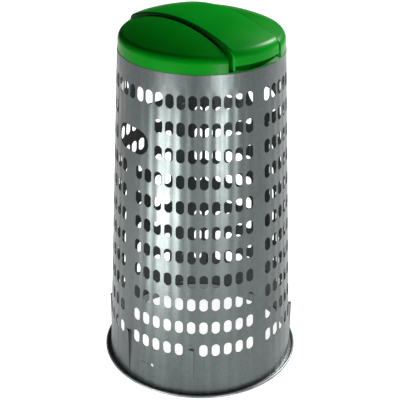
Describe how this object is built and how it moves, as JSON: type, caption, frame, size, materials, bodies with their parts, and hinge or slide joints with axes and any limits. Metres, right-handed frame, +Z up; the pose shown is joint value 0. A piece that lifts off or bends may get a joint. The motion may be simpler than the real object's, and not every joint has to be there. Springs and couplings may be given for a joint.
{
  "type": "litter bin",
  "caption": "Free-standing conical litter bin: perforated galvanised steel body with hand holes, and a domed plastic lid with a hinged lift-up flap.",
  "frame": {"origin": "centre of the foot on the ground", "axes": "+Z up; -Y from the axis towards the flap's grip; +Y towards its hinge; +X to the right when facing +Y"},
  "size_m": [0.495, 0.495, 0.9],
  "materials": {
    "galvanised_steel": "dull galvanised sheet",
    "foot_steel": "dull galvanised",
    "rivet_steel": "plated",
    "bracket_steel": "dull galvanised",
    "hoop_steel": "zinc-plated wire",
    "lid_plastic": "satin moulded",
    "flap_plastic": "satin moulded",
    "rod_steel": "plated",
    "cap_steel": "plated"
  },
  "bodies": {
    "body": {"body_shell": "galvanised_steel", "foot_ring": "foot_steel", "sack_hoop": "hoop_steel", "hoop_bracket_1": "bracket_steel", "hoop_bracket_2": "bracket_steel", "hoop_bracket_3": "bracket_steel", "hoop_bracket_4": "bracket_steel", "seam_rivet_1": "rivet_steel", "seam_rivet_2": "rivet_steel", "seam_rivet_3": "rivet_steel", "seam_rivet_4": "rivet_steel", "seam_rivet_5": "rivet_steel", "seam_rivet_6": "rivet_steel", "seam_rivet_7": "rivet_steel", "seam_rivet_8": "rivet_steel", "seam_rivet_9": "rivet_steel"},
    "lid": {"lid_frame": "lid_plastic", "hinge_rod": "rod_steel", "rod_cap_left": "cap_steel", "rod_cap_right": "cap_steel"},
    "flap": {"lid_flap": "flap_plastic"}
  },
  "joints": [
    {"name": "lid_lift", "type": "slide", "parent": "body", "child": "lid", "axis": [0, 0, 1], "range_m": [0, 0.15]},
    {"name": "flap_hinge", "type": "hinge", "parent": "lid", "child": "flap", "pos_m": [0, 0.184, 0.831], "axis": [-1, 0, 0], "range_deg": [0, 100]}
  ]
}
